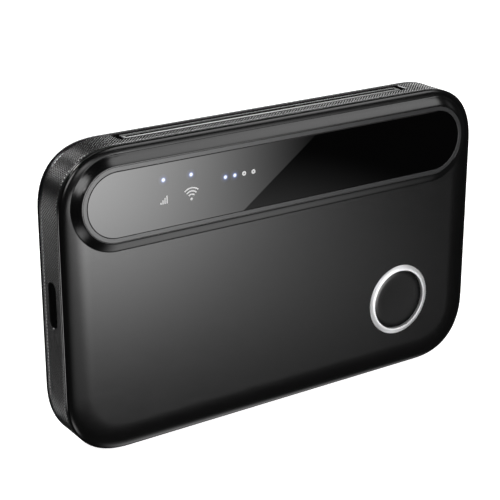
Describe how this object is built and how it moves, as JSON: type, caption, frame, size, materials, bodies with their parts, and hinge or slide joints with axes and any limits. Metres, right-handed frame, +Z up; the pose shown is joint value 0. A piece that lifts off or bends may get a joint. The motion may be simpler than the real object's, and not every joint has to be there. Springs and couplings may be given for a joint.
{
  "type": "mobile hotspot",
  "caption": "Pocket mobile hotspot: slim rounded housing, long smoked status window, ringed power button, side charging socket, card tray and knurled band.",
  "frame": {"origin": "on the surface it stands on, under the middle of the box of the whole object", "axes": "+Z up, the front with the window faces -Y, +X to the right seen from the front"},
  "size_m": [0.1, 0.0134, 0.062],
  "materials": {
    "satin_black": "satin moulded plastic with a very fine grain",
    "knurled_black": "moulded plastic with a fine diamond knurl",
    "satin_grey": "satin dark grey trim",
    "smoked_window": "high gloss, smoked nearly black",
    "polished_ring": "polished bright metal",
    "black_tape": "matt black foam tape",
    "circuit_board": "green solder mask",
    "chip_black": "matt black moulding compound",
    "pale_plastic": "off-white plastic",
    "light_white": "lit white light, bluish",
    "pressed_steel": "tin plated pressed steel",
    "screw_steel": "zinc plated steel",
    "spring_gold": "gold plated spring metal",
    "graphite": "dark graphite, slightly metallic",
    "grey_rubber": "soft grey thermal pad",
    "battery_foil": "laminated foil pouch",
    "red_wire": "red insulation",
    "black_wire": "black insulation",
    "antenna_copper": "copper foil on film"
  },
  "bodies": {
    "housing": {"antenna_bottom": "antenna_copper", "antenna_clip_1": "spring_gold", "antenna_clip_2": "spring_gold", "antenna_clip_3": "spring_gold", "antenna_clip_4": "spring_gold", "antenna_left": "antenna_copper", "antenna_right": "antenna_copper", "antenna_top": "antenna_copper", "battery_board": "circuit_board", "battery_cell": "battery_foil", "battery_lead_negative": "black_wire", "battery_lead_positive": "red_wire", "battery_plug": "pale_plastic", "battery_socket": "pale_plastic", "battery_tape": "black_tape", "button_ring": "polished_ring", "front_cover": "satin_black", "heat_spreader": "graphite", "led_battery_1": "light_white", "led_battery_2": "light_white", "led_battery_3": "light_white", "led_battery_4": "light_white", "led_signal": "light_white", "led_wifi": "light_white", "light_baffle": "black_tape", "main_board": "circuit_board", "memory_chip": "chip_black", "mid_frame": "knurled_black", "modem_chip": "chip_black", "modem_shield": "pressed_steel", "power_chip": "chip_black", "power_inductor": "graphite", "power_shield": "pressed_steel", "power_switch": "chip_black", "rear_cover": "satin_black", "reset_switch": "chip_black", "screw_1": "screw_steel", "screw_2": "screw_steel", "screw_3": "screw_steel", "screw_4": "screw_steel", "sim_base": "chip_black", "sim_cage": "pressed_steel", "thermal_pad": "grey_rubber", "top_grille": "satin_black", "usb_shell": "pressed_steel", "usb_tongue": "chip_black", "wifi_chip": "chip_black", "wifi_shield": "pressed_steel", "window_bezel": "satin_grey", "window_lens": "smoked_window", "window_tape": "black_tape"},
    "power_button": {"power_button": "satin_black"},
    "switch_plunger": {"power_switch_plunger": "pale_plastic"},
    "card_tray": {"sim_tray": "knurled_black", "sim_card": "pale_plastic"},
    "reset_pin": {"reset_plunger": "pale_plastic"}
  },
  "joints": [
    {"name": "power_button_press", "type": "slide", "parent": "housing", "child": "power_button", "axis": [0, 1, 0], "range_m": [0, 0.00025], "stiffness_N_per_m": 2000, "springref_m": -0.0001},
    {"name": "switch_plunger_press", "type": "slide", "parent": "housing", "child": "switch_plunger", "axis": [0, 1, 0], "range_m": [0, 0.00025]},
    {"name": "card_tray_slide", "type": "slide", "parent": "housing", "child": "card_tray", "axis": [1, 0, 0], "range_m": [0, 0.018]},
    {"name": "reset_pin_press", "type": "slide", "parent": "housing", "child": "reset_pin", "axis": [-1, 0, 0], "range_m": [0, 0.00025], "stiffness_N_per_m": 1000, "springref_m": -0.0001}
  ],
  "couplings": [
    {"joint": "switch_plunger_press", "follows": "power_button_press", "ratio": 1}
  ]
}
